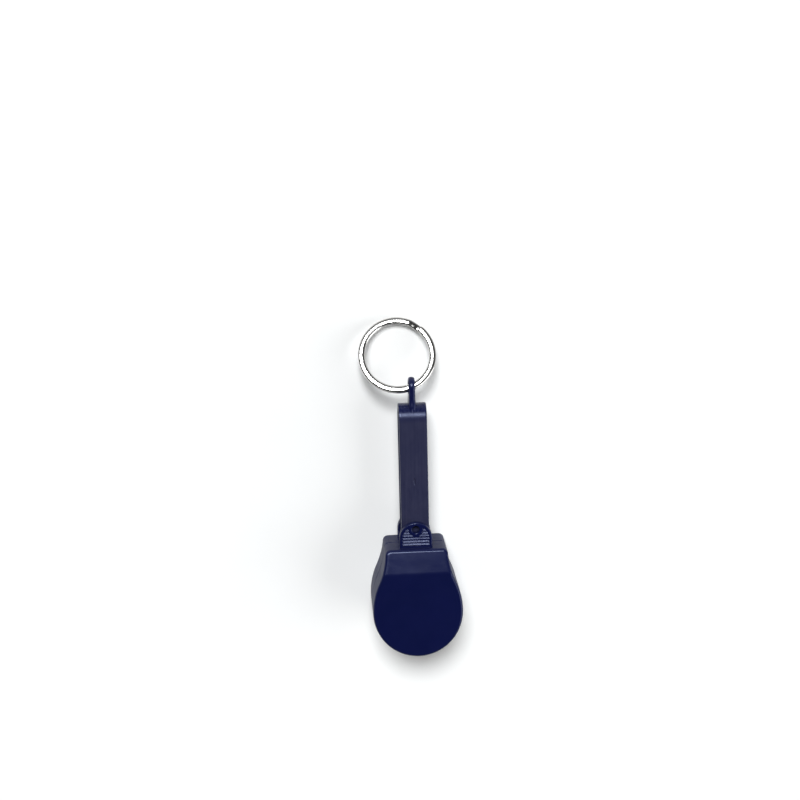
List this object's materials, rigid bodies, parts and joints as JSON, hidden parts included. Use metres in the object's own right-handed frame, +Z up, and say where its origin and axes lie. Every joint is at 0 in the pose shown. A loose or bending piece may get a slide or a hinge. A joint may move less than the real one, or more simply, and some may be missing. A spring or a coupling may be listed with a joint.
{
  "type": "lens cleaning tongs",
  "caption": "Pocket spectacle lens cleaner: sprung tongs with round microfibre pads, a sliding case with ribbed thumb tabs over the pads, and a split key ring.",
  "frame": {"origin": "centre of the round head, on the flat back face of the case that the cleaner rests on", "axes": "+Z up, out of the front face; +Y along the arms to the key ring; +X to the right seen from the front"},
  "size_m": [0.0313, 0.1089, 0.022],
  "materials": {
    "navy_plastic": "satin moulded",
    "white_plastic": "plain moulded",
    "foam": "open-cell foam",
    "microfibre": "fine knit with a short nap",
    "thread": "twisted thread",
    "steel": "nickel plated"
  },
  "bodies": {
    "tongs": {"spring_bend": "navy_plastic"},
    "front_arm": {"front_arm": "navy_plastic", "front_pad_disc": "white_plastic", "front_pad_foam": "foam", "front_pad_cover": "microfibre", "front_pad_tie": "thread"},
    "rear_arm": {"rear_arm": "navy_plastic", "rear_pad_disc": "white_plastic", "rear_pad_foam": "foam", "rear_pad_cover": "microfibre", "rear_pad_tie": "thread"},
    "case": {"case_front_half": "navy_plastic", "case_rear_half": "navy_plastic"},
    "key_ring": {"key_ring": "steel"}
  },
  "joints": [
    {"name": "front_arm_pinch", "type": "hinge", "parent": "tongs", "child": "front_arm", "pos_m": [0, 0.06234, 0.01495], "axis": [1, 0, 0], "range_deg": [0, 1.6], "stiffness_Nm_per_rad": 0.3, "springref_deg": -1.15},
    {"name": "rear_arm_pinch", "type": "hinge", "parent": "tongs", "child": "rear_arm", "pos_m": [0, 0.06234, 0.00705], "axis": [-1, 0, 0], "range_deg": [0, 1.6], "stiffness_Nm_per_rad": 0.3, "springref_deg": -1.15},
    {"name": "case_slide", "type": "slide", "parent": "tongs", "child": "case", "axis": [0, 1, 0], "range_m": [0, 0.031]},
    {"name": "ring_swing", "type": "hinge", "parent": "tongs", "child": "key_ring", "pos_m": [0, 0.0723, 0.011], "axis": [1, 0, 0], "range_deg": [-110, 160]}
  ]
}
